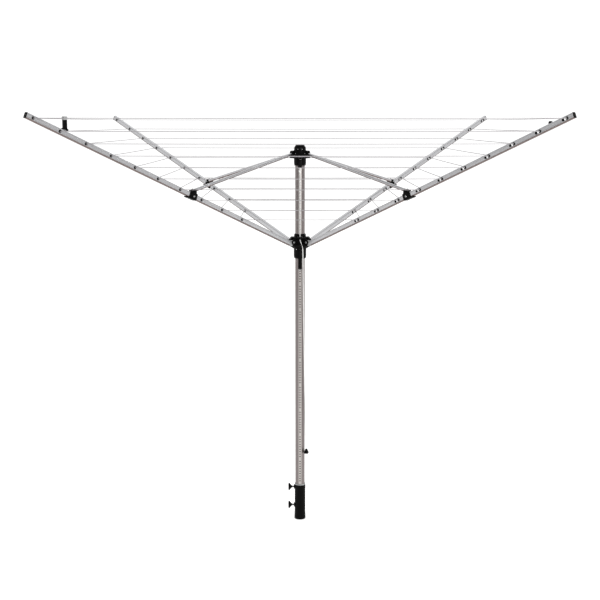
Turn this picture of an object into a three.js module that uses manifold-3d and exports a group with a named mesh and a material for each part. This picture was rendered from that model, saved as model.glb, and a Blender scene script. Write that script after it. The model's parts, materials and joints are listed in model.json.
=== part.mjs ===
// A rotary clothesline: a ground sleeve, a turning mast, a crown and a sliding hub on the mast,
// four arms that fold up like an umbrella, four braces and ten rounds of line.
// Millimetres, +Z up. The origin is on the mast's axis, in the plane of the sleeve's foot.

import * as THREE from 'three';
import { mergeGeometries, mergeVertices } from 'three/addons/utils/BufferGeometryUtils.js';
import Module from 'manifold-3d';

const wasm = await Module();
wasm.setup();

// ---- Driving dimensions ----

const GAP = 0.3; // between pieces that touch
const PLAY = 0.4; // all round a tongue in its tube
const OVERRUN = 5; // of a cutting tool past the face it cuts
const ROUND = 20; // sides of the mast and of the round bodies on it

const SLEEVE = { height: 169, radius: 25.7, foot: 26.9, bore: 23, mastSeat: 106 };
const SCREW = { low: 67, high: 157, shaft: 3.9, bossEnd: 29.5, headStart: 38, headEnd: 56 };

const MAST = { radius: 22.5, wall: 1.6, foot: 110.2, top: 1774 };
const HOLE = { pitch: 12.03, first: 191.9, count: 123, blankEvery: 10, wide: 6, high: 5 };

const BORE = 22.95; // of the crown and the hub, which slide on the mast
const CROWN = {
  top: 1777, split: 1735, plateFoot: 1726.6, foot: 1688.6, radius: 27, flange: 51, lobeTop: 1757,
};
const HUB = { foot: 1261, top: 1376, radius: 29, cheekGap: 17.8, cheek: 4 };
// The round plates above and below the arms' pivots.
const UPPER_PLATE = { radius: 46, foot: 1354.5, top: 1361 };
const LOWER_PLATE = { radius: 51, foot: 1319, top: 1330.5 };

const ARM = { pivotR: 51, pivotZ: 1339, slope: 22.95, drop: 10, wide: 17, high: 22, wall: 1.4, tipR: 1423 };
const BRACKET = { pivotR: 635, pivotZ: 1595.5, length: 40, shell: 1.5 };
const BRACE = { pivotR: 33, pivotZ: 1741.5, aside: 16, wide: 10, high: 14, wall: 1.3 };
const LINE = { rounds: 10, outerR: 1399.4, spacing: 114.57, thick: 3.2, hole: 3.3, mouth: 12 };
const CORD = { radius: 2, top: 1677.8, bridge: 1362, bridgeFoot: 1350.6 };
const TOGGLE = { x: 30, y: -21, top: 350, height: 22, radius: 11 };
const TIE_POST = { r: 1258, foot: 1853.5, height: 52.5, half: 7 };

// The four arms, counted round the mast from the front left one. Each brace lies beside its arm,
// on the side given here, so that the two pass each other as they fold.
const ARMS = [
  { azimuth: 225, braceSide: -1 },
  { azimuth: 315, braceSide: 1 },
  { azimuth: 45, braceSide: -1 },
  { azimuth: 135, braceSide: 1 },
];

const rad = THREE.MathUtils.degToRad;
const slope = rad(ARM.slope);

// A point of the arm's upright plane, from its distance out from the mast and its height, as the
// distance along the arm from its pivot and the distance above the line through the pivot.
function alongArm(r, z) {
  const out = r - ARM.pivotR;
  const up = z - ARM.pivotZ;
  return {
    along: out * Math.cos(slope) + up * Math.sin(slope),
    above: up * Math.cos(slope) - out * Math.sin(slope),
  };
}

const armEnd = (ARM.tipR - ARM.pivotR) / Math.cos(slope);
const bracePoint = alongArm(BRACKET.pivotR, BRACKET.pivotZ);
const braceRun = BRACKET.pivotR - BRACE.pivotR;
const braceFall = BRACE.pivotZ - BRACKET.pivotZ;
const braceLength = Math.hypot(braceRun, braceFall);
const braceSlope = Math.atan2(braceFall, braceRun);

// Where line number n crosses the arm's middle line.
const lineR = n => LINE.outerR - LINE.spacing * (n - 1);
const lineAlong = n => (lineR(n) - ARM.pivotR - ARM.drop * Math.sin(slope)) / Math.cos(slope);
const lineZ = n => ARM.pivotZ + lineAlong(n) * Math.sin(slope) - ARM.drop * Math.cos(slope);

// ---- Solids ----

// A closed solid from a geometry, with its seams merged and its faces pointing out.
function solid(geometry) {
  const bare = geometry.index ? geometry.toNonIndexed() : geometry.clone();
  bare.deleteAttribute('normal');
  bare.deleteAttribute('uv');
  const merged = mergeVertices(bare, 1e-4);
  const position = merged.attributes.position;
  const corner = i => new THREE.Vector3().fromBufferAttribute(position, i);
  const triangles = [];
  let volume = 0;
  for (let i = 0; i < merged.index.count; i += 3) {
    const [a, b, c] = [0, 1, 2].map(k => merged.index.getX(i + k));
    if (a === b || b === c || c === a) continue;
    triangles.push([a, b, c]);
    volume += corner(a).dot(corner(b).cross(corner(c)));
  }
  const ordered = volume > 0 ? triangles : triangles.map(([a, b, c]) => [a, c, b]);
  return new wasm.Manifold(new wasm.Mesh({
    numProp: 3,
    vertProperties: new Float32Array(position.array),
    triVerts: new Uint32Array(ordered.flat()),
  }));
}

const join = parts => parts.reduce((whole, part) => whole.add(part));
const cut = (whole, tools) => tools.reduce((left, tool) => left.subtract(tool), whole);

// A block between two limits on each axis.
function block([x0, x1], [y0, y1], [z0, z1]) {
  const box = new THREE.BoxGeometry(x1 - x0, y1 - y0, z1 - z0);
  return solid(box.translate((x0 + x1) / 2, (y0 + y1) / 2, (z0 + z1) / 2));
}

// An outline of [x, z] points, carried across from one y to the other.
function slab(outline, y0, y1) {
  const shape = new THREE.Shape(outline.map(([x, z]) => new THREE.Vector2(x, z)));
  const plate = new THREE.ExtrudeGeometry(shape, { depth: y1 - y0, bevelEnabled: false });
  return solid(plate.rotateX(Math.PI / 2).translate(0, y1, 0));
}

// An outline of [y, z] points, carried across from one x to the other.
function sidewaysSlab(outline, x0, x1) {
  const shape = new THREE.Shape(outline.map(([y, z]) => new THREE.Vector2(y, z)));
  const plate = new THREE.ExtrudeGeometry(shape, { depth: x1 - x0, bevelEnabled: false });
  return solid(plate.rotateX(Math.PI / 2).rotateZ(Math.PI / 2).translate(x0, 0, 0));
}

// A body turned about Z from [radius, z] points. The outline closes on itself or ends on the axis.
function turned(outline, sides = ROUND) {
  const points = outline.map(([r, z]) => new THREE.Vector2(r, z));
  return solid(new THREE.LatheGeometry(points, sides, Math.PI / sides).rotateX(Math.PI / 2));
}

// A round column on the mast's axis, with its flats in line with those of the turned bodies.
const column = (radius, z0, z1) => turned([[0, z0], [radius, z0], [radius, z1], [0, z1]]);

// A plain round bar between two points.
function bar(from, to, radius, sides = 8) {
  const a = new THREE.Vector3(...from);
  const b = new THREE.Vector3(...to);
  const cylinder = new THREE.CylinderGeometry(radius, radius, a.distanceTo(b), sides);
  const turn = new THREE.Quaternion().setFromUnitVectors(
    new THREE.Vector3(0, 1, 0), b.clone().sub(a).normalize());
  cylinder.applyQuaternion(turn);
  const middle = a.add(b).multiplyScalar(0.5);
  return solid(cylinder.translate(middle.x, middle.y, middle.z));
}

// A tube along a smooth curve through a list of points.
function cordAlong(points, radius, steps) {
  const section = new THREE.Shape();
  section.absarc(0, 0, radius, 0, 2 * Math.PI);
  const extrudePath = new THREE.CatmullRomCurve3(
    points.map(p => new THREE.Vector3(...p)), false, 'centripetal');
  return solid(new THREE.ExtrudeGeometry(section, {
    curveSegments: 4, steps, bevelEnabled: false, extrudePath,
  }));
}

// Points on an arc of an outline, both ends included.
function arc(x, z, radius, from, to, steps) {
  return Array.from({ length: steps + 1 }, (_, i) => {
    const angle = rad(from + (to - from) * i / steps);
    return [x + radius * Math.cos(angle), z + radius * Math.sin(angle)];
  });
}

// A body moved into an arm's frame: x out along the plan direction, y to its left, z up.
const aimed = (body, azimuth) => body.rotate([0, 0, azimuth]);

// A flat-sided section with its corners taken off, as [y, z] points.
function softBox(wide, high, corner, z) {
  const w = wide / 2;
  const h = high / 2;
  return [
    [-w + corner, z - h], [w - corner, z - h], [w, z - h + corner], [w, z + h - corner],
    [w - corner, z + h], [-w + corner, z + h], [-w, z + h - corner], [-w, z - h + corner],
  ];
}

// ---- Scene graph ----

const FINISH = {
  blackPlastic: { color: 0x17181a, roughness: 0.55, metalness: 0 },
  aluminium: { color: 0xb4b2b0, roughness: 0.38, metalness: 1 },
  mastAluminium: { color: 0xa8a29d, roughness: 0.4, metalness: 1 },
  galvanised: { color: 0x9a9b9a, roughness: 0.45, metalness: 1 },
  greyNylon: { color: 0x8b8c8c, roughness: 0.6, metalness: 0 },
  line: { color: 0xe6e6e4, roughness: 0.6, metalness: 0 },
  cord: { color: 0xf1f1ef, roughness: 0.85, metalness: 0 },
};

const group = new THREE.Group();

function add(name, body, finish, parent = group) {
  const { vertProperties, triVerts, numProp } = body.getMesh();
  const geometry = new THREE.BufferGeometry();
  const position = new Float32Array(vertProperties.length / numProp * 3);
  for (let i = 0; i < position.length; i += 1) {
    position[i] = vertProperties[Math.floor(i / 3) * numProp + i % 3];
  }
  geometry.setAttribute('position', new THREE.BufferAttribute(position, 3));
  geometry.setIndex(new THREE.BufferAttribute(new Uint32Array(triVerts), 1));
  const mesh = new THREE.Mesh(geometry, new THREE.MeshStandardMaterial(FINISH[finish]));
  mesh.name = name;
  parent.add(mesh);
}

// ---- Ground sleeve and its two wing screws ----

function groundSleeve() {
  const { height, radius, foot, bore, mastSeat } = SLEEVE;
  const shell = turned([
    [bore, 0], [foot - 1, 0], [foot, 1.5], [foot - 0.3, 18], [radius, 40], [radius, height - 12],
    [radius + 0.7, height - 6], [radius + 0.2, height], [24.4, height], [24.4, 163], [bore, 163],
    [bore, mastSeat], [17, mastSeat], [17, mastSeat - 6], [bore, mastSeat - 6], [bore, 0],
  ]);
  const bosses = [SCREW.low, SCREW.high].map(z => bar([-23.6, 0, z], [-SCREW.bossEnd, 0, z], 10.5, 16));
  const bores = [SCREW.low, SCREW.high].map(z => bar([-20, 0, z], [-40, 0, z], 4.3));
  const mastSpace = column(bore, mastSeat, 164);
  const bushingSpace = column(24.4, 163, height + OVERRUN);
  return cut(join([shell, ...bosses]), [...bores, mastSpace, bushingSpace]);
}

function bushing() {
  return turned([[22.9, 163.4], [24, 163.4], [24, 173], [23.4, 175], [22.9, 175], [22.9, 163.4]]);
}

function wingScrew(z, shaftTip) {
  const shaft = bar([-shaftTip, 0, z], [-SCREW.headStart - 2, 0, z], SCREW.shaft);
  const { headStart } = SCREW;
  const boss = turned([[0, headStart], [5, headStart], [8.5, 44], [8.5, 50], [6, 54], [0, 54]], 16)
    .rotate([0, -90, 0]).translate([0, 0, z]);
  const wings = slab([
    [-44, z - 9], [-41, z - 4], [-41, z + 4], [-44, z + 9], [-47, z + 14], [-50, z + 17.5], [-54, z + 18],
    [-SCREW.headEnd, z + 15], [-SCREW.headEnd, z - 15], [-54, z - 18], [-50, z - 17.5], [-47, z - 14],
  ], -2.6, 2.6);
  return join([shaft, boss, wings]);
}

add('ground_sleeve', groundSleeve(), 'blackPlastic');
add('sleeve_bushing', bushing(), 'greyNylon');
add('wing_screw_lower', wingScrew(SCREW.low, 21.5), 'blackPlastic');
add('wing_screw_upper', wingScrew(SCREW.high, MAST.radius + 0.4), 'blackPlastic');

// ---- Mast ----

function mastTube() {
  const { radius, wall, foot, top } = MAST;
  const inner = radius - wall;
  const tube = turned([[inner, foot], [radius, foot], [radius, top], [inner, top], [inner, foot]]);
  const slots = [];
  for (let i = 0; i < HOLE.count; i += 1) {
    if ((i + 1) % HOLE.blankEvery === 0) continue;
    const slot = new THREE.BoxGeometry(HOLE.wide, 8, HOLE.high);
    slots.push(slot.translate(0, -radius, HOLE.first + HOLE.pitch * i));
  }
  return cut(tube, [solid(mergeGeometries(slots))]);
}

function mastFoot() {
  return turned([[0, 106.4], [21, 106.4], [22.2, 107.5], [22.2, 109.9], [20.3, 109.9], [20.3, 128],
    [19, 131], [0, 131]]);
}

function mastCap() {
  return turned([[0, 1760], [20.3, 1760], [20.3, 1774.3], [22.4, 1774.3], [22.4, 1778], [19.7, 1783],
    [0, 1783]]);
}

add('mast_tube', mastTube(), 'mastAluminium');
add('mast_foot_plug', mastFoot(), 'blackPlastic');
add('mast_top_cap', mastCap(), 'blackPlastic');

// ---- Crown: collar, plate and base, which hold the braces' inner ends ----

// The places round the crown where a brace stands, as blocks between two distances out, a distance
// either side of the brace's middle and two heights.
function braceBlocks(out, side, height) {
  return ARMS.map(({ azimuth, braceSide }) => {
    const middle = braceSide * BRACE.aside;
    return aimed(block(out, [middle - side, middle + side], height), azimuth);
  });
}

const slot = BRACE.wide / 2 + 0.6;
const trunnion = { radius: 3.4, reach: slot + 2.6 };

function crownCollar() {
  const { top, split, radius, flange, lobeTop } = CROWN;
  const body = turned([
    [BORE, split + GAP], [flange - 0.5, split + GAP], [flange, split + 2], [flange - 1, split + 4.5],
    [34, split + 5.5], [31, split + 10], [29.5, 1757], [radius, 1761], [radius, 1771.4], [23.6, top],
    [BORE, top], [BORE, split + GAP],
  ]);
  const lobes = ARMS.map(({ azimuth, braceSide }) => {
    const middle = braceSide * BRACE.aside;
    const outline = [
      [15, split + GAP], [41.5, split + GAP],
      ...arc(BRACE.pivotR, lobeTop - 8.5, 8.5, 0, 90, 4), [15, lobeTop],
    ];
    return aimed(slab(outline, middle - slot - 3.4, middle + slot + 3.4), azimuth);
  });
  const pockets = braceBlocks([23.5, 60], slot, [split - OVERRUN, BRACE.pivotZ + 6.4]);
  const sockets = ARMS.map(({ azimuth, braceSide }) => {
    const middle = braceSide * BRACE.aside;
    const reach = trunnion.reach + 0.4;
    const { pivotR, pivotZ } = BRACE;
    return aimed(bar([pivotR, middle - reach, pivotZ], [pivotR, middle + reach, pivotZ],
      trunnion.radius + 0.3), azimuth);
  });
  const mastSpace = column(BORE, split - OVERRUN, top + OVERRUN);
  return cut(join([body, ...lobes]), [...pockets, ...sockets, mastSpace]);
}

function crownPlate() {
  const { split, plateFoot } = CROWN;
  const ring = turned([[BORE, plateFoot], [45.5, plateFoot], [46.5, plateFoot + 1.5], [46.5, split - 1],
    [45.5, split], [BORE, split], [BORE, plateFoot]]);
  return cut(ring, braceBlocks([25.3, 60], slot, [plateFoot - OVERRUN, split + OVERRUN]));
}

function crownBase() {
  const { plateFoot, foot, flange } = CROWN;
  const top = plateFoot - GAP;
  const body = turned([
    [BORE, foot], [24.3, foot], [26.5, foot + 5], [27.7, foot + 12], [27.7, top - 4.5],
    [flange - 1, top - 3.2], [flange - 1, top], [BORE, top], [BORE, foot],
  ]);
  const window = block([-9.6, 9.6], [-40, -15], [foot - OVERRUN, 1719.5]);
  return cut(body, [window, ...braceBlocks([25.3, 60], slot, [foot - OVERRUN, top + OVERRUN])]);
}

function crownPawl() {
  const lever = sidewaysSlab([
    [-25.6, 1718], [-29.6, 1718], [-30.8, 1714], [-31.2, 1684], [-30.4, 1678.2], [-24.6, 1678.2],
    [-24, 1690], [-22.8, 1697.5], [-22.8, 1700.5], [-24.6, 1706],
  ], -9, 9);
  const eye = bar([0, -28, 1685], [0, -28, 1670], 1, 8);
  return cut(lever, [eye]);
}

add('crown_collar', crownCollar(), 'blackPlastic');
add('crown_plate', crownPlate(), 'galvanised');
add('crown_base', crownBase(), 'blackPlastic');
add('crown_pawl', crownPawl(), 'blackPlastic');

// ---- Hub: the sliding body that the arms hinge on ----

function hubCheek() {
  const { pivotR, pivotZ } = ARM;
  return [
    [24, 1306], [42, 1314], [56, 1321], ...arc(pivotR, pivotZ, 12.5, -50, 75, 5), [44, 1358], [24, 1362],
  ];
}

// A round plate of the hub, with its rim taken off at both faces and a gap for each arm.
function hubPlate({ radius, foot, top }) {
  const rim = 1.5;
  const plate = turned([
    [BORE, foot], [radius - rim, foot], [radius, foot + rim], [radius, top - rim], [radius - rim, top],
    [BORE, top], [BORE, foot],
  ]);
  const half = HUB.cheekGap / 2;
  return cut(plate, ARMS.map(({ azimuth }) => aimed(
    block([34, radius + OVERRUN], [-half, half], [foot - OVERRUN, top + OVERRUN]), azimuth)));
}

function hubBody() {
  const { foot, top, radius, cheekGap, cheek } = HUB;
  const body = turned([
    [BORE, foot], [24.6, foot], [27.6, foot + 4], [radius, foot + 12], [radius, 1350], [27.6, 1358],
    [27.6, top - 8], [26, top - 2], [24.6, top], [BORE, top], [BORE, foot],
  ]);
  const cheeks = ARMS.flatMap(({ azimuth }) => [-1, 1].map(side => {
    const inner = side * cheekGap / 2;
    const outer = side * (cheekGap / 2 + cheek);
    return aimed(slab(hubCheek(), Math.min(inner, outer), Math.max(inner, outer)), azimuth);
  }));
  const webs = ARMS.map(({ azimuth }) => aimed(
    block([23, 33], [-cheekGap / 2 - 1, cheekGap / 2 + 1], [1308, 1352]), azimuth));
  const mastSpace = column(BORE, foot - OVERRUN, top + OVERRUN);
  const notch = [[-4.6, top + 1], [0, top - 17], [4.6, top + 1]];
  const front = -LOWER_PLATE.radius - OVERRUN;
  const notches = slab(notch, front, -front);
  const rivetHoles = ARMS.map(({ azimuth }) => aimed(
    bar([ARM.pivotR, -20, ARM.pivotZ], [ARM.pivotR, 20, ARM.pivotZ], 3.3), azimuth));
  const leverSpace = block([-9.2, 9.2], [-40, -15], [foot - OVERRUN, 1302]);
  const cordRun = join([
    block([-2.6, 2.6], [front, -27.2], [CORD.bridge - 1, top + OVERRUN]),
    slab([[-3.6, CORD.bridgeFoot + 0.6], [3.4, CORD.bridgeFoot + 0.6], [15.6, 1318], [16.8, foot - OVERRUN],
      [10, foot - OVERRUN], [8.4, 1316]], front, -24.9),
  ]);
  const plates = [UPPER_PLATE, LOWER_PLATE].map(hubPlate);
  return cut(join([body, ...cheeks, ...webs, ...plates]),
    [mastSpace, notches, ...rivetHoles, leverSpace, cordRun]);
}

function armRivet() {
  const half = HUB.cheekGap / 2 + HUB.cheek + GAP;
  return join([
    bar([ARM.pivotR, -half - 1.8, ARM.pivotZ], [ARM.pivotR, half + 1.8, ARM.pivotZ], 3),
    bar([ARM.pivotR, -half - 2, ARM.pivotZ], [ARM.pivotR, -half, ARM.pivotZ], 4.6),
    bar([ARM.pivotR, half, ARM.pivotZ], [ARM.pivotR, half + 2, ARM.pivotZ], 4.6),
  ]);
}

function hubLever() {
  return sidewaysSlab([
    [-25.4, 1298], [-26.6, 1300.6], [-29.4, 1300.6], [-31, 1297], [-31, 1262], [-33, 1250],
    [-33, 1216], [-31.5, 1212], [-29, 1212], [-28, 1216], [-28, 1252], [-25.6, 1262],
    [-25.4, 1276], [-22.9, 1283], [-22.9, 1286], [-25.4, 1289],
  ], -8.5, 8.5);
}

add('hub_body', hubBody(), 'blackPlastic');
ARMS.forEach(({ azimuth }, i) => add(`arm_rivet_${i + 1}`, aimed(armRivet(), azimuth), 'galvanised'));
add('hub_release_lever', hubLever(), 'blackPlastic');

// ---- Arms ----

// The frame of one arm: x along it from its pivot, y to its left, z square to it.
function armFrame(azimuth) {
  const turn = new THREE.Group();
  turn.rotation.z = rad(azimuth);
  const pitch = new THREE.Group();
  pitch.position.set(ARM.pivotR, 0, ARM.pivotZ);
  pitch.rotation.y = -slope;
  turn.add(pitch);
  group.add(turn);
  return pitch;
}

const capLength = 2.5; // of the part of an arm's cap that shows
const tubeStart = 14;

function armTube() {
  const { wide, high, wall, drop } = ARM;
  const outer = sidewaysSlab(softBox(wide, high, 2, -drop), tubeStart, armEnd - capLength);
  const inner = sidewaysSlab(softBox(wide - 2 * wall, high - 2 * wall, 1, -drop), 0, armEnd);
  const holes = Array.from({ length: LINE.rounds }, (_, i) => {
    const x = lineAlong(i + 1);
    return bar([x, -20, -drop], [x, 20, -drop], LINE.hole, 4);
  });
  return cut(outer, [inner, ...holes]);
}

function armHinge() {
  const { wide, high, wall, drop } = ARM;
  const end = tubeStart - GAP;
  const lug = slab([
    ...arc(0, 0, 9.5, 60, 200, 6), [-6, -drop - 6], [4, -drop - high / 2 + 1], [end, -drop - high / 2],
    [end, high / 2 - drop], [7, 6.5],
  ], -wide / 2, wide / 2);
  const tongue = sidewaysSlab(
    softBox(wide - 2 * (wall + PLAY), high - 2 * (wall + PLAY), 1, -drop), end - 1, 46);
  return cut(join([lug, tongue]), [bar([0, -20, 0], [0, 20, 0], 3.3)]);
}

function armCap() {
  const { wide, high, wall, drop } = ARM;
  const start = armEnd - capLength + GAP;
  const face = sidewaysSlab(softBox(wide + 1, high + 1, 2, -drop), start, armEnd);
  const tongue = sidewaysSlab(softBox(wide - 2 * (wall + PLAY), high - 2 * (wall + PLAY), 1, -drop),
    start - 20, start + 1);
  return join([face, tongue]);
}

// The saddle on the arm that carries the brace's outer end, between two ears.
function armBracket(side) {
  const { wide, high, drop } = ARM;
  const { length, shell } = BRACKET;
  const { along, above } = bracePoint;
  const face = wide / 2 + GAP + shell;
  const far = -side * (wide / 2 + GAP + 3);
  const near = side * face;
  const across = (a, b) => [Math.min(a, b), Math.max(a, b)];
  const saddle = slab([
    [along - length / 2, -drop - 12], [along - length / 2 + 3, -drop - 15], [along + 20, -drop - 16],
    [along + 33, -drop - 17], [along + 34, -drop - 13], [along + length / 2, -drop - 11],
    [along + length / 2, 1], [along + length / 2 - 3, 5], [along - length / 2 + 3, 5],
    [along - length / 2, 1],
  ], ...across(near, far));
  const ear = [
    [along - 13, 3], [along + 13, 3], ...arc(along, above + 5, 8.5, 15, 165, 6),
  ];
  const ears = [
    slab(ear, ...across(near, near - side * 5)),
    slab(ear, ...across(far, far + side * 5)),
  ];
  const pin = bar([along, far - side * 1.5, above], [along, near - side * 0.2, above], 3.2);
  const passage = sidewaysSlab(softBox(wide + 2 * GAP, high + 2 * GAP, 2, -drop),
    along - length, along + length);
  return cut(join([saddle, ...ears, pin]), [passage]);
}

// The upright post that the end of the line is tied off on, with a sloping sole on the arm's back.
function tiePost(azimuth) {
  const { r, foot, height, half } = TIE_POST;
  const top = foot + height;
  const rise = Math.tan(slope) * (half + 4);
  const post = block([r - half, r + half], [-half, half], [foot + 3, top - 4]);
  const cap = block([r - half - 1, r + half + 1], [-half - 1, half + 1], [top - 4, top]);
  const sole = slab([
    [r - half - 4, foot + 2 - rise], [r + half + 4, foot + 2 + rise], [r + half + 4, foot + 10],
    [r - half - 4, foot + 5],
  ], -half - 1, half + 1);
  const window = block([r - half / 2, r + half / 2], [-20, 20], [foot + 14, top - 10]);
  return aimed(cut(join([post, cap, sole]), [window]), azimuth);
}

ARMS.forEach(({ azimuth, braceSide }, i) => {
  const frame = armFrame(azimuth);
  add(`arm_tube_${i + 1}`, armTube(), 'aluminium', frame);
  add(`arm_hinge_${i + 1}`, armHinge(), 'greyNylon', frame);
  add(`arm_cap_${i + 1}`, armCap(), 'blackPlastic', frame);
  add(`arm_bracket_${i + 1}`, armBracket(braceSide), 'blackPlastic', frame);
});
add('tie_post', tiePost(ARMS[0].azimuth), 'blackPlastic');

// ---- Braces ----

// The frame of one brace: x along it from the crown, y to its left, z square to it.
function braceFrame({ azimuth, braceSide }) {
  const turn = new THREE.Group();
  turn.rotation.z = rad(azimuth);
  const pitch = new THREE.Group();
  pitch.position.set(BRACE.pivotR, braceSide * BRACE.aside, BRACE.pivotZ);
  pitch.rotation.y = braceSlope;
  turn.add(pitch);
  group.add(turn);
  return pitch;
}

const braceStart = 10;
const braceStop = braceLength - 13;

function braceTube() {
  const { wide, high, wall } = BRACE;
  const outer = sidewaysSlab(softBox(wide, high, 3, 0), braceStart, braceStop);
  const inner = sidewaysSlab(softBox(wide - 2 * wall, high - 2 * wall, 2, 0), 0, braceLength);
  return cut(outer, [inner]);
}

function braceTongue(from, to) {
  const { wide, high, wall } = BRACE;
  return sidewaysSlab(softBox(wide - 2 * (wall + PLAY), high - 2 * (wall + PLAY), 1.8, 0), from, to);
}

function braceInnerEnd() {
  const { wide } = BRACE;
  const { radius, reach } = trunnion;
  const end = braceStart - GAP;
  const eye = slab([...arc(0, 0, 6, 90, 270, 6), [end, -6], [end, 6]], -wide / 2, wide / 2);
  return join([eye, braceTongue(end - 1, 34), bar([0, -reach, 0], [0, reach, 0], radius)]);
}

function braceOuterEnd(side) {
  const { wide } = BRACE;
  const start = braceStop + GAP;
  const eye = slab([...arc(braceLength, 0, 8.5, -90, 90, 8), [start, 6.8], [start, -6.8]],
    -wide / 2, wide / 2);
  const head = bar([braceLength, side * (wide / 2 - 1), 0], [braceLength, side * (wide / 2 + 3), 0], 5.5, 12);
  return join([eye, braceTongue(start - 26, start + 1), head]);
}

ARMS.forEach((arm, i) => {
  const frame = braceFrame(arm);
  add(`brace_tube_${i + 1}`, braceTube(), 'aluminium', frame);
  add(`brace_inner_end_${i + 1}`, braceInnerEnd(), 'galvanised', frame);
  add(`brace_outer_end_${i + 1}`, braceOuterEnd(arm.braceSide), 'blackPlastic', frame);
});

// ---- Ten rounds of line ----

// One closed round of line: straight through a hole in each arm, and square to the next arm's hole.
function lineRound(n) {
  const corners = grow => ARMS.flatMap(({ azimuth }) => [-1, 1].map(side => {
    const out = lineR(n) + grow;
    const aside = side * (LINE.mouth + grow * Math.tan(rad(22.5)));
    const turn = rad(azimuth);
    return new THREE.Vector2(
      out * Math.cos(turn) - aside * Math.sin(turn),
      out * Math.sin(turn) + aside * Math.cos(turn));
  }));
  const shape = new THREE.Shape(corners(LINE.thick / 2));
  shape.holes.push(new THREE.Path(corners(-LINE.thick / 2)));
  const ring = new THREE.ExtrudeGeometry(shape, { depth: LINE.thick, bevelEnabled: false });
  return solid(ring.translate(0, 0, lineZ(n) - LINE.thick / 2));
}

for (let n = 1; n <= LINE.rounds; n += 1) {
  add(`line_round_${String(n).padStart(2, '0')}`, lineRound(n), 'line');
}

// ---- Pull cord and toggle ----

const upperCord = [[0, -28, CORD.top], [0, -29.6, CORD.bridge]];
const lowerCord = [
  [0, -31.4, 1350], [3.5, -31.4, 1338], [8.5, -31.4, 1325], [12, -31.4, 1312], [13.2, -31.2, 1290],
  [13.4, -30.6, 1265], [13.8, -30, 1230], [15, -29, 1120], [17, -27.6, 960], [19.5, -26.2, 800],
  [22, -25, 640], [25, -23.5, 500], [28, -21.8, 385], [TOGGLE.x, TOGGLE.y, TOGGLE.top + GAP],
];

function toggle() {
  const { x, y, top, height, radius } = TOGGLE;
  return turned([
    [0, top - height], [radius - 2, top - height], [radius, top - height + 3], [radius, top - 14],
    [radius - 2.5, top - 8], [5, top - 3], [4, top], [0, top],
  ], 16).translate([x, y, 0]);
}

add('pull_cord_upper', cordAlong(upperCord, CORD.radius, 6), 'cord');
add('pull_cord_lower', cordAlong(lowerCord, CORD.radius, 26), 'cord');
add('pull_toggle', toggle(), 'blackPlastic');

export default group;
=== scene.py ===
"""A rotary clothesline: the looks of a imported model, piece by piece, as a Blender add-on."""

import json
import math

import bpy
from bpy.props import (
    FloatProperty, FloatVectorProperty, IntProperty, PointerProperty,
)
from bpy.types import Operator, Panel, PropertyGroup
from mathutils import Matrix, Vector

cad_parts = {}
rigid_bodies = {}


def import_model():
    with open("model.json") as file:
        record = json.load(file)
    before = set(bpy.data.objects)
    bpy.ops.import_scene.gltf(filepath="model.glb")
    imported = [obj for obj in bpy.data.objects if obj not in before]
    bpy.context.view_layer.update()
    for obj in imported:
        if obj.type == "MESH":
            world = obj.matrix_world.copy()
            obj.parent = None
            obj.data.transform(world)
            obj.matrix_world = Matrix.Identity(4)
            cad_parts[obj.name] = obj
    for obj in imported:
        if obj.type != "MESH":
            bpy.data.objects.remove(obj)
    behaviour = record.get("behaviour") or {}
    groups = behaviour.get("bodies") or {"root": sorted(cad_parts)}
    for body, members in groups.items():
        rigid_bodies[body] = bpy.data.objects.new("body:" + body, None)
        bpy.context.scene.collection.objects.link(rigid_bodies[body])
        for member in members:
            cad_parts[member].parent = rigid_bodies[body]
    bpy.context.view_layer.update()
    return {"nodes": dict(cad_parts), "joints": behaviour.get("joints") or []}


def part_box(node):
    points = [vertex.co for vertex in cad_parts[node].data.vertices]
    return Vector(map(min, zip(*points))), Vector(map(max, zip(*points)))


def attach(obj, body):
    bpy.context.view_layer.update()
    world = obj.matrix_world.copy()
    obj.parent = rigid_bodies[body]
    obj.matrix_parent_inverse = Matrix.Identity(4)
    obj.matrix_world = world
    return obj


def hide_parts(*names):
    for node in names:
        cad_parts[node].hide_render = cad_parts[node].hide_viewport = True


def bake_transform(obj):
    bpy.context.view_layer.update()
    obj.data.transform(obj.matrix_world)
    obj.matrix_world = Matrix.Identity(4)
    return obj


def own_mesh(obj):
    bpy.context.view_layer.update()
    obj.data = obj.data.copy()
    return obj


bl_info = {
    "name": "Rotary Clothesline",
    "version": (1, 0, 0),
    "blender": (4, 5, 0),
    "location": "3D View > Sidebar > Clothesline",
    "description": "Models a rotary clothesline's pieces round its packed frame",
    "category": "Add Mesh",
}

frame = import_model()
JOINTS = {joint["name"]: joint for joint in frame["joints"]}

MM = 0.001
ARMS = (1, 2, 3, 4)
# The left of an arm, seen along it from the mast, is the side that faces the next arm.
SIDES = {"left": 1, "right": -1}

MAST_RADIUS = 22.5
BORE = 22.95
ARM_PIVOT = (51, 1339)
ARM_SLOPE = math.radians(22.95)
ARM_TIP = 1423
ARM_DROP = 10
ARM_WIDE, ARM_HIGH, ARM_WALL = 17, 22, 1.4
ARM_START, CAP_LENGTH = 14, 2.5
BRACE_WIDE, BRACE_HIGH, BRACE_WALL = 10, 14, 1.3
BRACE_ASIDE = 16
BRACE_PIVOT = (33, 1741.5)
BRACKET_PIVOT = (635, 1595.5)
LINE_FIRST, LINE_SPACING, LINE_MOUTH = 1399.4, 114.57, 12
HUB_CHEEK_GAP, HUB_CHEEK = 17.8, 4
CROWN_SPLIT, CROWN_PLATE_FOOT = 1735, 1726.6
# Points closer than this are one; edges blunter than this many degrees shade smoothly.
SAME_PLACE = 0.002
SHARP, ROUND_SECTION = 38, 60

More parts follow.
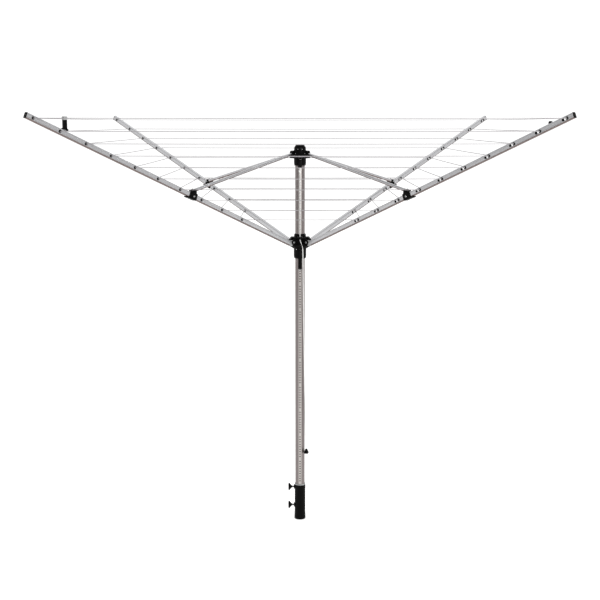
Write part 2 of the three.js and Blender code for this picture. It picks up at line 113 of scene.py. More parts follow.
ARM_LENGTH = (ARM_TIP - ARM_PIVOT[0]) / math.cos(ARM_SLOPE)
BRACE_RUN = BRACKET_PIVOT[0] - BRACE_PIVOT[0]
BRACE_FALL = BRACE_PIVOT[1] - BRACKET_PIVOT[1]
BRACE_LENGTH = math.hypot(BRACE_RUN, BRACE_FALL)
BRACE_SLOPE = math.atan2(BRACE_FALL, BRACE_RUN)

# The pull cord's two stretches, as the CAD has them: down from the crown's latch to the bridge in
# the hub, and from under the bridge, past the hub's lever, down to the toggle.
UPPER_CORD = [(0, -28, 1677.8), (0, -29.6, 1362)]
LOWER_CORD = [
    (0, -31.4, 1350), (3.5, -31.4, 1338), (8.5, -31.4, 1325), (12, -31.4, 1312),
    (13.2, -31.2, 1290), (13.4, -30.6, 1265), (13.8, -30, 1230), (15, -29, 1120),
    (17, -27.6, 960), (19.5, -26.2, 800), (22, -25, 640), (25, -23.5, 500), (28, -21.8, 385),
    (30, -21, 350.3),
]


def linear(colour):
    """An sRGB hex colour as linear red, green and blue."""
    parts = [int(colour[i:i + 2], 16) / 255 for i in (1, 3, 5)]
    return [p / 12.92 if p <= 0.04045 else ((p + 0.055) / 1.055) ** 2.4 for p in parts]


# ---- Settings ----

def size_setting(name, description, default):
    """A length of the object, given in millimetres and kept in metres."""
    return FloatProperty(
        name=name, description=description, default=default * MM, min=0, unit="LENGTH",
        subtype="DISTANCE", precision=4)


def colour_setting(name, description, default):
    """A colour that a finish starts from, given as an sRGB hex value."""
    return FloatVectorProperty(
        name=name, description=description, default=linear(default), min=0, max=1, size=3,
        subtype="COLOR")


class ClotheslineSizes(PropertyGroup):
    """The sizes that a user would change."""

    hole_pitch: size_setting("Hole Pitch", "Height from one hole of the mast to the next", 12.03)
    hole_width: size_setting("Hole Width", "Width of a hole in the mast", 6)
    hole_height: size_setting("Hole Height", "Height of a hole in the mast", 5)
    line_rounds: IntProperty(
        name="Rounds of Line", description="Square rounds of line on the arms", default=10,
        min=10, max=10)
    line_thickness: size_setting("Line Thickness", "Diameter of the washing line", 3.2)
    line_sag: size_setting("Line Sag", "How far a line hangs down between two arms", 1)
    cord_thickness: size_setting("Cord Thickness", "Diameter of the pull cord", 4)
    eyelet_width: size_setting("Eyelet Width", "Outer diameter of a line eyelet", 12)
    soft_edge: size_setting("Soft Edge", "Width of the rounding on moulded edges", 0.7)


class ClotheslineColours(PropertyGroup):
    """The colours that a user would change."""

    black: colour_setting("Black Plastic", "Mouldings of the crown, hub and sleeve", "#030303")
    nylon: colour_setting("Grey Nylon", "Hinge ends and bushings", "#8A8B8B")
    arm: colour_setting("Arm Aluminium", "Extruded arms and braces", "#BFBFC1")
    mast: colour_setting("Mast Aluminium", "Drawn tube of the mast", "#7C7574")
    # A darker colour on the faces under an arm or a brace: painted shade.
    underside_shade: colour_setting("Underside Shade", "Unpolished lip under an arm or a brace", "#6E605D")
    # A brighter colour on the front of the mast along its holes: a painted highlight.
    strip: colour_setting("Mast Highlight", "Painted highlight on the mast along its holes", "#A8A3A0")
    # A near black colour inside the tube: painted shade.
    inside: colour_setting("Mast Inside", "Painted shade inside the mast", "#161414")
    plate: colour_setting("Crown Plate", "Dull zinc plated steel of the crown's plate", "#6A676C")
    zinc: colour_setting("Zinc", "Zinc plated steel of plates, bolts and rivets", "#A9AAAA")
    # The white PVC line is coloured grey: painted shade.
    line: colour_setting("Line", "PVC cover of the washing line", "#918E90")
    bead: colour_setting("Bead", "Nylon beads where a line leaves an arm", "#F2F2F0")
    cord: colour_setting("Cord", "Braided pull cord", "#E4E4E2")
    floor: colour_setting("Floor", "Pale floor of the studio", "#F4F4F3")


class ClotheslineStage(PropertyGroup):
    """The camera and the light."""

    lens: FloatProperty(
        name="Lens", description="Focal length of the camera on a 36 mm sensor", default=67.14,
        min=10, max=300, unit="CAMERA")
    distance: FloatProperty(
        name="Distance", description="How far in front of the mast the camera stands",
        default=5.172, min=1, max=30, unit="LENGTH")
    height: FloatProperty(
        name="Height", description="Height of the camera above the sleeve's foot",
        default=1.879, min=0, max=10, unit="LENGTH")
    pitch: FloatProperty(
        name="Pitch", description="How far the camera looks down", default=math.radians(8.958),
        min=0, max=1.5, unit="ROTATION", subtype="ANGLE")
    backdrop: FloatProperty(
        name="Backdrop", description="Strength of the white surroundings behind the mast",
        default=1.15, min=0, max=5)
    daylight: FloatProperty(
        name="Daylight", description="Strength of the surroundings in front of the mast",
        default=0.5, min=0, max=5)
    key_light: FloatProperty(
        name="Key Light", description="Power of the soft light at the front right", default=90,
        min=0, max=5000, unit="POWER")


def sizes():
    return bpy.context.scene.clothesline_sizes


def colours():
    return bpy.context.scene.clothesline_colours


def stage():
    return bpy.context.scene.clothesline_stage


# ---- Ways of modelling ----

def put_down():
    """Leaves edit mode and deselects everything."""
    if bpy.context.mode != "OBJECT":
        bpy.ops.object.mode_set(mode="OBJECT")
    bpy.ops.object.select_all(action="DESELECT")


def take(piece):
    """Selects one piece alone and makes it the active one."""
    put_down()
    piece.select_set(True)
    bpy.context.view_layer.objects.active = piece
    return piece


def edit(piece, kind="VERT"):
    """Opens one piece in edit mode with all of it selected."""
    take(piece)
    bpy.ops.object.mode_set(mode="EDIT")
    bpy.ops.mesh.select_mode(type=kind)
    bpy.ops.mesh.select_all(action="SELECT")
    return piece


def in_metres(points):
    return [tuple(c * MM for c in point) for point in points]


def thread(points):
    """A chain of edges through points in millimetres: a plane merged to a vertex, then extruded."""
    put_down()
    route = in_metres(points)
    bpy.ops.mesh.primitive_plane_add(size=MM, location=route[0])
    bpy.ops.object.mode_set(mode="EDIT")
    bpy.ops.mesh.select_mode(type="VERT")
    bpy.ops.mesh.select_all(action="SELECT")
    bpy.ops.mesh.merge(type="CENTER")
    for here, there in zip(route, route[1:]):
        step = [b - a for a, b in zip(here, there)]
        bpy.ops.mesh.extrude_region_move(TRANSFORM_OT_translate={"value": step})
    bpy.ops.mesh.select_all(action="SELECT")
    return bpy.context.object


def named(piece, name):
    piece.name = name
    piece.data.name = name
    return piece


def moved(pattern, matrix, name):
    """A pattern's copy, moved by a matrix, in the place of the pattern."""
    piece = copied(pattern, matrix, name)
    bpy.data.objects.remove(pattern)
    return piece


def choose(piece, kind, test):
    """Opens a piece in edit mode with those faces or edges selected that pass a test."""
    edit(piece, kind)
    bpy.ops.mesh.select_all(action="DESELECT")
    bpy.ops.object.mode_set(mode="OBJECT")
    for part in piece.data.polygons if kind == "FACE" else piece.data.edges:
        part.select = test(part)
    bpy.ops.object.mode_set(mode="EDIT")


def settle(piece, name):
    """Merges doubles, turns the faces outwards and applies the place of a piece in edit mode."""
    bpy.ops.mesh.select_all(action="SELECT")
    bpy.ops.mesh.remove_doubles(threshold=SAME_PLACE * MM)
    bpy.ops.mesh.normals_make_consistent(inside=False)
    take(piece)
    bpy.ops.object.transform_apply()
    return named(piece, name)


def spun(name, outline, steps=48, centre=(0, 0)):
    """A turned body: an outline of (radius, height) points is spun about an upright axis."""
    x, y = centre
    piece = thread([(x + r, y, z) for r, z in outline])
    bpy.ops.mesh.spin(
        steps=steps, angle=2 * math.pi, center=(x * MM, y * MM, 0), axis=(0, 0, 1))
    return settle(piece, name)


def plate(name, outline, run):
    """A flat plate: a closed outline of points is faced and extruded by the vector run."""
    piece = thread(outline + outline[:1])
    bpy.ops.mesh.remove_doubles(threshold=SAME_PLACE * MM)
    bpy.ops.mesh.edge_face_add()
    bpy.ops.mesh.extrude_region_move(
        TRANSFORM_OT_translate={"value": [c * MM for c in run]})
    return settle(piece, name)


def upright(outline, y=0):
    """An outline of (x, z) points as points in space."""
    return [(x, y, z) for x, z in outline]


def arc(x, z, radius, start, end, steps):
    """Points (x, z) on an arc, both ends included, from angles in degrees."""
    turns = [math.radians(start + (end - start) * i / steps) for i in range(steps + 1)]
    return [(x + radius * math.cos(t), z + radius * math.sin(t)) for t in turns]


def block(name, low, high):
    """A cube primitive scaled to lie between two corners, in millimetres."""
    put_down()
    middle = [(a + b) / 2 * MM for a, b in zip(low, high)]
    bpy.ops.mesh.primitive_cube_add(size=1, location=middle)
    piece = bpy.context.object
    piece.scale = [(b - a) * MM for a, b in zip(low, high)]
    bpy.ops.object.transform_apply()
    piece.name = name
    return piece


def rod(name, start, end, radius, sides=24):
    """A cylinder primitive between two points, in millimetres."""
    put_down()
    a, b = (Vector(p) for p in in_metres([start, end]))
    bpy.ops.mesh.primitive_cylinder_add(
        vertices=sides, radius=radius * MM, depth=(b - a).length, location=(a + b) / 2,
        rotation=(b - a).to_track_quat("Z", "Y").to_euler())
    bpy.ops.object.transform_apply()
    piece = bpy.context.object
    piece.name = name
    return piece


def tube(name, points, radius, sides=8, closed=False):
    """A round tube along points in millimetres: a chain of edges made a curve with a bevel."""
    route = list(points) + (list(points[:1]) if closed else [])
    thread(route)
    bpy.ops.mesh.remove_doubles(threshold=SAME_PLACE * MM)
    put_down()
    piece = bpy.context.view_layer.objects.active
    take(piece)
    bpy.ops.object.convert(target="CURVE")
    curve = bpy.context.object.data
    curve.bevel_depth = radius * MM
    curve.bevel_resolution = max(0, sides // 4 - 1)
    curve.use_fill_caps = not closed
    bpy.ops.object.convert(target="MESH")
    piece = bpy.context.object
    edit(piece)
    return settle(piece, name)


def modify(piece, kind, **settings):
    """Adds a modifier with its settings and applies it."""
    take(piece)
    bpy.ops.object.modifier_add(type=kind)
    modifier = piece.modifiers[-1]
    for key, value in settings.items():
        setattr(modifier, key, value)
    bpy.ops.object.modifier_apply(modifier=modifier.name)
    return piece


def combine(piece, tools, operation):
    """Adds tools to a piece (UNION) or cuts them from it (DIFFERENCE), and removes them."""
    for tool in tools:
        modify(piece, "BOOLEAN", operation=operation, object=tool, solver="EXACT")
        bpy.data.objects.remove(tool)
    return piece


def soften(piece, width=None, segments=2, limit=SHARP):
    """Rounds the sharp edges of a piece and smooths its shading."""
    edge = sizes().soft_edge if width is None else width * MM
    modify(
        piece, "BEVEL", width=edge, segments=segments, limit_method="ANGLE",
        angle_limit=math.radians(limit), use_clamp_overlap=False)
    return smooth(piece)


def smooth(piece, limit=SHARP):
    """Smooths the shading between faces that meet at less than an angle in degrees."""
    take(piece)
    bpy.ops.object.shade_smooth_by_angle(angle=math.radians(limit))
    return piece


def from_cad(node, name):
    """A copy of a CAD node, with its loose triangles merged into whole faces."""
    take(frame["nodes"][node])
    bpy.ops.object.duplicate()
    piece = bpy.context.object
    bpy.ops.object.parent_clear(type="CLEAR_KEEP_TRANSFORM")
    for key in list(piece.keys()):
        del piece[key]
    piece.data.materials.clear()
    edit(piece)
    bpy.ops.mesh.customdata_custom_splitnormals_clear()
    bpy.ops.mesh.remove_doubles(threshold=0.01 * MM)
    bpy.ops.mesh.dissolve_limited(angle_limit=math.radians(1))
    return settle(piece, name)


def copied(piece, matrix, name):
    """A copy of a piece with a mesh of its own, moved by a matrix that is then applied."""
    take(piece)
    bpy.ops.object.duplicate()
    copy = bpy.context.object
    copy.matrix_world = matrix
    bpy.ops.object.transform_apply()
    return named(copy, name)


def merged(pieces, name):
    """Several pieces joined into one object."""
    put_down()
    for piece in pieces:
        piece.select_set(True)
    bpy.context.view_layer.objects.active = pieces[0]
    if len(pieces) > 1:
        bpy.ops.object.join()
    return named(bpy.context.object, name)


def lay_grain(piece, origin, along):
    """A UV map in metres, u along the piece and v round it, so that its grain follows it."""
    start, run = Vector(origin), Vector(along).normalized()
    level = Vector((0, 0, 1)).cross(run)
    side = level.normalized() if level.length > 0.1 else Vector((1, 0, 0))
    up = run.cross(side)
    grain = piece.data.uv_layers.new(name="grain")
    for loop in piece.data.loops:
        out = piece.data.vertices[loop.vertex_index].co - start
        grain.data[loop.index].uv = (out.dot(run), out.dot(up) - out.dot(side))
    return piece


def finish(piece, key, body, *nodes):
    """Gives a piece its finish and body, and hides the CAD nodes that it stands for."""
    if not piece.data.materials:
        piece.data.materials.append(material(key))
    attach(piece, body)
    if nodes:
        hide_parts(*nodes)
    return piece


def rounded(node_name, name, key, body, width, segments=2):
    """A copy of a CAD node with rounded edges, finished and standing for the node."""
    piece = soften(from_cad(node_name, name), width, segments)
    return finish(piece, key, body, node_name)


# ---- Places on the arms ----

def azimuth(arm):
    """The direction in which an arm points, from where it hinges on the hub."""
    x, y, _ = JOINTS[f"arm_lift_{arm}"]["pos_m"]
    return math.atan2(y, x)


def turned_to(arm):
    return Matrix.Rotation(azimuth(arm), 4, "Z")


def arm_place(arm):
    """The place of an arm: x along it from its pivot, y to its left, z square to it."""
    r, z = ARM_PIVOT
    return turned_to(arm) @ Matrix.Translation((r * MM, 0, z * MM)) @ Matrix.Rotation(
        -ARM_SLOPE, 4, "Y")


def brace_place(arm):
    """The place of a brace: x along it from the crown, y to its left, z square to it."""
    pivot = Vector(JOINTS[f"brace_fold_{arm}"]["pos_m"])
    return Matrix.Translation(pivot) @ turned_to(arm) @ Matrix.Rotation(BRACE_SLOPE, 4, "Y")


def line_radius(n):
    """How far out round number n of the line crosses an arm."""
    return LINE_FIRST - LINE_SPACING * (n - 1)


def line_along(n):
    """How far along an arm round number n of the line crosses it."""
    out = line_radius(n) - ARM_PIVOT[0] - ARM_DROP * math.sin(ARM_SLOPE)
    return out / math.cos(ARM_SLOPE)


def line_height(n):
    return (ARM_PIVOT[1] + line_along(n) * math.sin(ARM_SLOPE)
            - ARM_DROP * math.cos(ARM_SLOPE))


# ---- Materials ----

def fill(tree, made, **sockets):
    """Fills a node's sockets, given by name or as _0 and _1, with values or links."""
    for key, value in sockets.items():
        name = key.replace("_", " ")
        socket = made.inputs[int(name[1:])] if name[1:].isdigit() else made.inputs[name]
        if isinstance(value, bpy.types.NodeSocket):
            tree.links.new(value, socket)
        else:
            socket.default_value = value
    return made


def node(tree, kind, settings=None, **sockets):
    """Adds a node, sets its settings and fills its sockets."""
    made = tree.nodes.new(kind)
    for key, value in (settings or {}).items():
        setattr(made, key, value)
    return fill(tree, made, **sockets)


def ramp(tree, factor, low, high, first=0.3, last=0.7):
    """A colour ramp between two colours or two grey levels."""
    made = node(tree, "ShaderNodeValToRGB", Fac=factor)
    for stop, place, value in zip(made.color_ramp.elements, (first, last), (low, high)):
        stop.position = place
        stop.color = (value, value, value, 1) if isinstance(value, float) else (*value, 1)
    return made.outputs["Color"]


def shaded(colour, share):
    """A colour made darker or lighter by a share."""
    return [min(1.0, c * share) for c in colour]


def moulded_plastic(tree, colour, roughness, shine):
    """Injection moulded plastic with a spark-eroded texture: a broken, satin shine.

    The grain of the mould is about 0.1 mm and is drawn at 0.8 mm, the finest that shows. Flow
    marks about 15 mm long vary the shade a little.
    """
    place = node(tree, "ShaderNodeTexCoord").outputs["Object"]
    flow = node(tree, "ShaderNodeTexNoise", Vector=place, Scale=1 / (15 * MM), Detail=3.0)
    grain = node(tree, "ShaderNodeTexNoise", Vector=place, Scale=1 / (0.8 * MM), Detail=2.0)
    bump = node(tree, "ShaderNodeBump", Strength=0.25, Distance=0.08 * MM,
                Height=grain.outputs["Fac"])
    return dict(
        Base_Color=ramp(tree, flow.outputs["Fac"], shaded(colour, 0.75), shaded(colour, 1.3)),
        Roughness=ramp(tree, grain.outputs["Fac"], roughness - 0.06, roughness + 0.08),
        Specular_IOR_Level=shine,
        Normal=bump.outputs["Normal"],
    )


def extruded_aluminium(tree, colour, roughness):
    """Anodised aluminium as it leaves the die: fine lengthwise lines that draw its shine out.

    The die lines are 0.4 mm apart and run on for 250 mm; wider bands, 5 mm apart, vary the tone.
    """
    place = node(tree, "ShaderNodeUVMap", {"uv_map": "grain"}).outputs["UV"]
    drawn = node(tree, "ShaderNodeMapping", Vector=place,
                 Scale=(1 / (250 * MM), 1 / (0.4 * MM), 1)).outputs["Vector"]
    broad = node(tree, "ShaderNodeMapping", Vector=place,
                 Scale=(1 / (400 * MM), 1 / (5 * MM), 1)).outputs["Vector"]
    lines = node(tree, "ShaderNodeTexNoise", Vector=drawn, Scale=1.0, Detail=3.0)
    bands = node(tree, "ShaderNodeTexNoise", Vector=broad, Scale=1.0, Detail=2.0)
    bump = node(tree, "ShaderNodeBump", Strength=0.2, Distance=0.05 * MM,
                Height=lines.outputs["Fac"])
    return dict(
        Base_Color=ramp(tree, bands.outputs["Fac"], shaded(colour, 0.88), shaded(colour, 1.1)),
        Metallic=1.0,
        Roughness=ramp(tree, lines.outputs["Fac"], roughness - 0.08, roughness + 0.1),
        Normal=bump.outputs["Normal"],
    )


def zinc_plate(tree, colour):
    """Zinc plated steel: a cool, even shine with faint cloudy patches 6 mm across."""
    place = node(tree, "ShaderNodeTexCoord").outputs["Object"]
    clouds = node(tree, "ShaderNodeTexNoise", Vector=place, Scale=1 / (6 * MM), Detail=4.0)
    scratches = node(tree, "ShaderNodeTexNoise", Vector=place, Scale=1 / (0.7 * MM), Detail=2.0)
    bump = node(tree, "ShaderNodeBump", Strength=0.15, Distance=0.05 * MM,
                Height=scratches.outputs["Fac"])
    return dict(
        Base_Color=ramp(tree, clouds.outputs["Fac"], shaded(colour, 0.82), shaded(colour, 1.1)),
        Metallic=1.0,
        Roughness=ramp(tree, clouds.outputs["Fac"], 0.28, 0.42),
        Normal=bump.outputs["Normal"],
    )


def pvc_cover(tree, colour):
    """PVC drawn over a stranded core: smooth and a little waxy, with the lay of the core showing.

    The strands under the cover rise every 9 mm along the line, and dust greys it in patches.
    """
    place = node(tree, "ShaderNodeUVMap", {"uv_map": "grain"}).outputs["UV"]
    dust = node(tree, "ShaderNodeTexNoise", Vector=place, Scale=1 / (60 * MM), Detail=3.0)
    strands = node(tree, "ShaderNodeTexWave", {"bands_direction": "DIAGONAL"}, Vector=place,
                   Scale=1 / (9 * MM) / 6.28)
    bump = node(tree, "ShaderNodeBump", Strength=0.2, Distance=0.1 * MM,
                Height=strands.outputs["Fac"])
    return dict(
        Base_Color=ramp(tree, dust.outputs["Fac"], shaded(colour, 0.85), shaded(colour, 1.05)),
        Roughness=ramp(tree, dust.outputs["Fac"], 0.42, 0.55),
        Normal=bump.outputs["Normal"],
    )


def braid(tree, colour):
    """Braided polyester: crossing strands 2 mm wide, soft and matt, with painted shade in the
    valleys between them.
    """
    place = node(tree, "ShaderNodeUVMap", {"uv_map": "grain"}).outputs["UV"]
    strand = 1 / (2 * MM) / 6.28
    one_way = node(tree, "ShaderNodeMapping", Vector=place, Rotation=(0, 0, math.radians(35)))
    other_way = node(tree, "ShaderNodeMapping", Vector=place, Rotation=(0, 0, math.radians(-35)))
    waves = [
        node(tree, "ShaderNodeTexWave", Vector=way.outputs["Vector"], Scale=strand).outputs["Fac"]
        for way in (one_way, other_way)]
    woven = node(tree, "ShaderNodeMath", {"operation": "MAXIMUM"}, _0=waves[0], _1=waves[1])
    bump = node(tree, "ShaderNodeBump", Strength=0.5, Distance=0.3 * MM,
                Height=woven.outputs["Value"])
    return dict(
        # A darker colour in the braid's valleys: painted shade.
        Base_Color=ramp(tree, woven.outputs["Value"], shaded(colour, 0.6), colour, 0.2, 0.8),
        Roughness=0.85,
        Sheen_Weight=0.3,
        Normal=bump.outputs["Normal"],
    )


def studio_paper(tree, colour):
    """Seamless paper lit from below: matt and all but white, with an unevenness 300 mm across."""
    place = node(tree, "ShaderNodeTexCoord").outputs["Object"]
    clouds = node(tree, "ShaderNodeTexNoise", Vector=place, Scale=1 / 0.3, Detail=2.0)
    return dict(
        Base_Color=ramp(tree, clouds.outputs["Fac"], shaded(colour, 0.985), colour),
        Roughness=0.9,
        Specular_IOR_Level=0.1,
        Emission_Color=(1, 1, 1, 1),
        Emission_Strength=0.5,
    )


# Each finish: the record's slot, how it is made, its name, and how rough (and glossy) it is.
FINISHES = {
    "black": ("black_plastic", moulded_plastic, "black polypropylene, moulded", 0.42, 0.06),
    "nylon": ("grey_nylon", moulded_plastic, "grey nylon, moulded", 0.5, 0.5),
    "bead": ("line_pvc", moulded_plastic, "white nylon, moulded", 0.4, 0.5),
    "arm": ("arm_aluminium", extruded_aluminium, "aluminium, extruded", 0.26),
    # Painted shade on the lower faces of the arms and braces.
    "underside_shade": ("arm_aluminium", extruded_aluminium, "aluminium, mill finish", 0.5),
    "mast": ("mast_aluminium", extruded_aluminium, "aluminium, drawn tube", 0.3),
    # Painted highlight along the mast's holes.
    "strip": ("mast_aluminium", extruded_aluminium, "aluminium, drawn over a smooth die", 0.3),
    # Painted shade inside the mast.
    "inside": ("mast_aluminium", extruded_aluminium, "aluminium, bare inside", 0.6),
    "zinc": ("galvanised_steel", zinc_plate, "zinc plated steel"),
    "plate": ("galvanised_steel", zinc_plate, "dull zinc plated steel"),
    # The line's grey colour is painted shade on white PVC.
    "line": ("line_pvc", pvc_cover, "PVC covered line"),
    "cord": ("braided_cord", braid, "braided polyester cord"),
    "floor": (None, studio_paper, "studio paper"),
}
MATERIALS = {}


def material(key):
    """The material of a finish, made once."""
    if key not in MATERIALS:
        _, pattern, name, *gloss = FINISHES[key]
        made = bpy.data.materials.new(name)
        made.use_nodes = True
        tree = made.node_tree
        colour = getattr(colours(), key)
        fill(tree, tree.nodes["Principled BSDF"], **pattern(tree, colour, *gloss))
        MATERIALS[key] = made
    return MATERIALS[key]


# ---- Stage ----

class CLOTHESLINE_OT_stage(Operator):
    """Adds the camera, the pale floor and the soft light."""

    bl_idname = "clothesline.stage"
    bl_label = "Stage"

    floor_side = 60
    key_place = Vector((1.5, -3.6, 2.6))
    key_aim = Vector((0, 0, 1.2))
    key_side = 0.8

    def execute(self, context):
        settings = stage()
        put_down()
        bpy.ops.object.camera_add(
            location=(0, -settings.distance, settings.height),
            rotation=(math.pi / 2 - settings.pitch, 0, 0))
        camera = context.object
        camera.data.sensor_width = 36
        camera.data.lens = settings.lens
        context.scene.camera = camera
        context.scene.view_settings.view_transform = "Standard"
        self.floor()
        self.light(settings)
        return {"FINISHED"}

    def floor(self):
        put_down()
        bpy.ops.mesh.primitive_plane_add(size=self.floor_side, location=(0, 0, -MM))
        floor = bpy.context.object
        edit(floor)
        bpy.ops.mesh.subdivide(number_cuts=9)
        settle(floor, "studio_floor")
        floor.data.materials.append(material("floor"))

    def light(self, settings):
        world = bpy.context.scene.world or bpy.data.worlds.new("Studio")
        bpy.context.scene.world = world
        world.use_nodes = True
        tree = world.node_tree
        out = node(tree, "ShaderNodeTexCoord").outputs["Generated"]
        behind = node(tree, "ShaderNodeSeparateXYZ", Vector=out).outputs["Y"]
        strength = node(
            tree, "ShaderNodeMapRange", {"interpolation_type": "SMOOTHSTEP"}, Value=behind,
            From_Min=-0.15, From_Max=0.25, To_Min=settings.daylight, To_Max=settings.backdrop)
        background = tree.nodes["Background"]
        background.inputs["Color"].default_value = (1, 1, 1, 1)
        tree.links.new(strength.outputs["Result"], background.inputs["Strength"])
        bpy.ops.object.light_add(
            type="AREA", location=self.key_place,
            rotation=(self.key_place - self.key_aim).to_track_quat("Z", "Y").to_euler())
        key = bpy.context.object
        key.name = "key_light"
        key.data.size = self.key_side
        key.data.energy = settings.key_light


# ---- Pull cord ----

def smooth_route(points, share=6):
    """Points on a smooth curve through a list of points, as a chain of short straight steps."""
    ends = [points[0], *points, points[-1]]
    route = []
    for a, b, c, d in zip(ends, ends[1:], ends[2:], ends[3:]):
        for i in range(share):
            t = i / share
            route.append(tuple(
                0.5 * (2 * q + (r - p) * t + (2 * p - 5 * q + 4 * r - s) * t * t
                       + (3 * q - p - 3 * r + s) * t ** 3)
                for p, q, r, s in zip(a, b, c, d)))
    return [*route, tuple(points[-1])]


class CLOTHESLINE_OT_pull_cord(Operator):
    """Models the pull cord's two stretches, its knot and its toggle."""

    bl_idname = "clothesline.pull_cord"
    bl_label = "Pull Cord"

    def execute(self, context):
        self.cord("pull_cord_above_hub", UPPER_CORD, "pull_cord_upper", "object", "taut",
                  ("crown", "hub"), [self.knot()])
        self.cord("pull_cord_below_hub", LOWER_CORD, "pull_cord_lower", "fitting", "hanging",
                  ("hub", "crown"), [self.toggle()])
        return {"FINISHED"}

    def cord(self, name, points, replaced, far_end, lay, bodies, with_pieces):
        diameter = sizes().cord_thickness
        route = smooth_route(points)
        piece = tube(name, route, diameter / MM / 2, sides=12)
        lay_grain(piece, in_metres(points)[0], (0, 0, -1))
        smooth(piece, ROUND_SECTION)
        piece.data.materials.append(material("cord"))
        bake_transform(piece)
        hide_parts(replaced)

    def knot(self):
        turns = [2 * math.pi * i / 36 for i in range(36)]
        loop = [
            (1.7 * (math.sin(t) + 2 * math.sin(2 * t)),
             -31.2 - 1.5 * math.sin(3 * t),
             1664 + 1.3 * (math.cos(t) - 2 * math.cos(2 * t))) for t in turns]
        knot = tube("pull_cord_knot", loop, 1.7, sides=12, closed=True)
        lay_grain(knot, in_metres(loop)[0], (0, 0, -1))
        return finish(smooth(knot, ROUND_SECTION), "cord", "crown")

    def toggle(self):
        x, y, z = LOWER_CORD[-1]
        top = z - 0.3
        bell = spun("cord_toggle", [
            (0, top - 20.5), (7.6, top - 20.5), (8.4, top - 22), (10, top - 22),
            (11, top - 20.8), *arc(8, top - 14, 3, 0, 50, 4), (8.2, top - 8.6),
            (6.4, top - 4.6), (5.6, top - 3.4), (5.6, top - 2), (4.6, top), (2.4, top),
            (0, top),
        ], 40, (x, y))
        return finish(smooth(bell), "black", "crown", "pull_toggle")


# ---- Ground sleeve ----

class CLOTHESLINE_OT_ground_sleeve(Operator):
    """Models the ground sleeve with its fluted barrel, its bosses and its grey bushing."""

    bl_idname = "clothesline.ground_sleeve"
    bl_label = "Ground Sleeve"

    screws = (67, 157)
    bore = 23
    seat = 106

    def execute(self, context):
        self.sleeve()
        self.bushing()
        return {"FINISHED"}

    def sleeve(self):
        sleeve = spun("ground_sleeve_body", [
            (self.bore, 0), (25.9, 0), (26.9, 1.2), (27.1, 4), (26.7, 14), (25.9, 32), (25.6, 42),
            (25.6, 148), (26.1, 152), (26.4, 157), (26.4, 165), (25.9, 168.2), (25.2, 169),
            (24.4, 169), (24.4, 163), (self.bore, 163), (self.bore, self.seat),
            (17, self.seat), (17, self.seat - 6), (self.bore, self.seat - 6), (self.bore, 0),
        ], 64)
        bosses = [rod("boss", (-23.6, 0, z), (-29.5, 0, z), 10.5, 32) for z in self.screws]
        bores = [rod("bore", (-20, 0, z), (-40, 0, z), 4.3) for z in self.screws]
        self.flute(sleeve)
        combine(sleeve, bosses, "UNION")
        combine(sleeve, bores, "DIFFERENCE")
        soften(sleeve, 0.5)
        finish(sleeve, "black", "socket", "ground_sleeve")

    def flute(self, sleeve):
        """Sinks every fourth strip of the barrel, clear of the bosses, into a shallow flute."""
        step = 2 * math.pi / 64

        def to_sink(face):
            x, y, z = (c / MM for c in face.center)
            outside = math.hypot(x, y) > 25 and face.area > 1e-5
            strip = round(math.atan2(y, x) / step - 0.5)
            return outside and 60 < z < 130 and strip % 4 == 0 and x > -20

        choose(sleeve, "FACE", to_sink)
        bpy.ops.mesh.inset(thickness=0.35 * MM, depth=-0.7 * MM, use_individual=True)
        bpy.ops.object.mode_set(mode="OBJECT")

    def bushing(self):
        ring = spun("sleeve_bushing_ring", [
            (22.85, 163.4), (24, 163.4), (24, 169.4), (25, 169.4), (25.1, 174.2), (24.4, 175.4),
            (23.2, 175.6), (22.85, 175), (22.85, 163.4),
        ], 64)
        notches = []
        for i in range(10):
            turn = math.pi * (i / 10 + 0.05)
            out = (30 * math.cos(turn), 30 * math.sin(turn))
            notches.append(rod("notch", (*out, 176), (-out[0], -out[1], 176), 2.6, 4))
        combine(ring, notches, "DIFFERENCE")
        soften(ring, 0.3)
        finish(ring, "nylon", "socket", "sleeve_bushing")


class CLOTHESLINE_OT_wing_screws(Operator):
    """Models the two wing screws that clamp the mast and the ground spike."""

    bl_idname = "clothesline.wing_screws"
    bl_label = "Wing Screws"

    def execute(self, context):
        for place in ("lower", "upper"):
            node_name = f"wing_screw_{place}"
            rounded(node_name, f"{node_name}_body", "black", f"screw_{place}", 1.3, 3)
            z = JOINTS[f"screw_{place}_turn"]["pos_m"][2] / MM
            washer = self.washer(z)
            finish(washer, "zinc", f"screw_{place}")
            washer.name = f"wing_screw_{place}_washer"
        return {"FINISHED"}

    def washer(self, z):
        ring = spun("washer", [(4, 0), (7.4, 0), (7.8, 0.4), (7.4, 1.4), (4, 1.4), (4, 0)], 32)
        turn = Matrix.Rotation(-math.pi / 2, 4, "Y")
        return smooth(moved(
            ring, Matrix.Translation((-36.2 * MM, 0, z * MM)) @ turn, "washer"))


# ---- Mast ----

